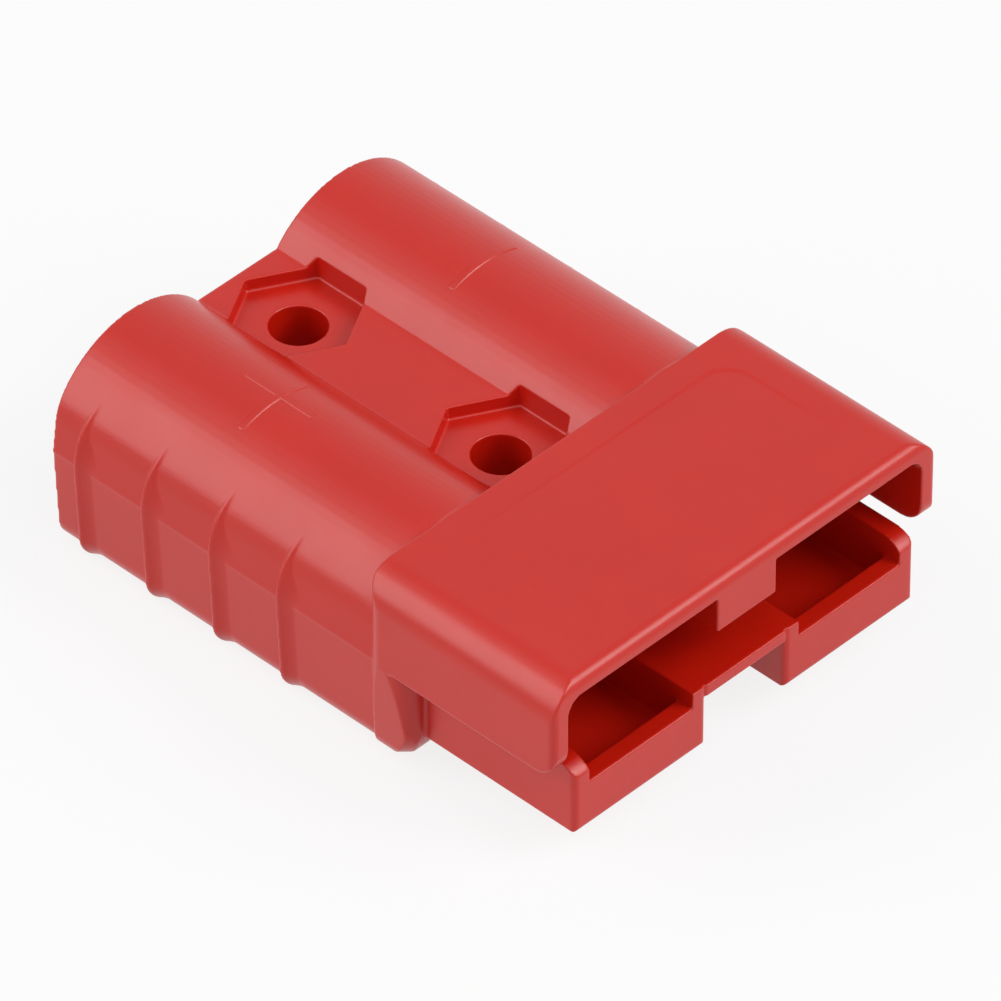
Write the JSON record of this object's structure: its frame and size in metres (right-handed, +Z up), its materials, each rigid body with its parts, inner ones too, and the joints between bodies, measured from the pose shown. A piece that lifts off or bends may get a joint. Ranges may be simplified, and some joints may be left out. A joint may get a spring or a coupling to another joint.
{
  "type": "genderless power connector housing",
  "caption": "Moulded two-pole genderless battery connector housing with hood, contact tongue, ribbed cable barrels, mounting holes and leaf springs in its tunnels",
  "frame": {"origin": "middle of the footprint's bounding rectangle, on the resting plane under the cable barrels", "axes": "+X points out of the mating mouth, +Y to the far pole, +Z up to the roof of the hood; the part is a mirror image of itself across the XZ plane"},
  "size_m": [0.0474, 0.0366, 0.0163],
  "materials": {
    "red_plastic": "satin moulded polycarbonate, red throughout",
    "spring_steel": "cold rolled stainless strip"
  },
  "bodies": {
    "root": {"housing": "red_plastic", "spring_left": "spring_steel", "spring_right": "spring_steel"}
  },
  "joints": []
}
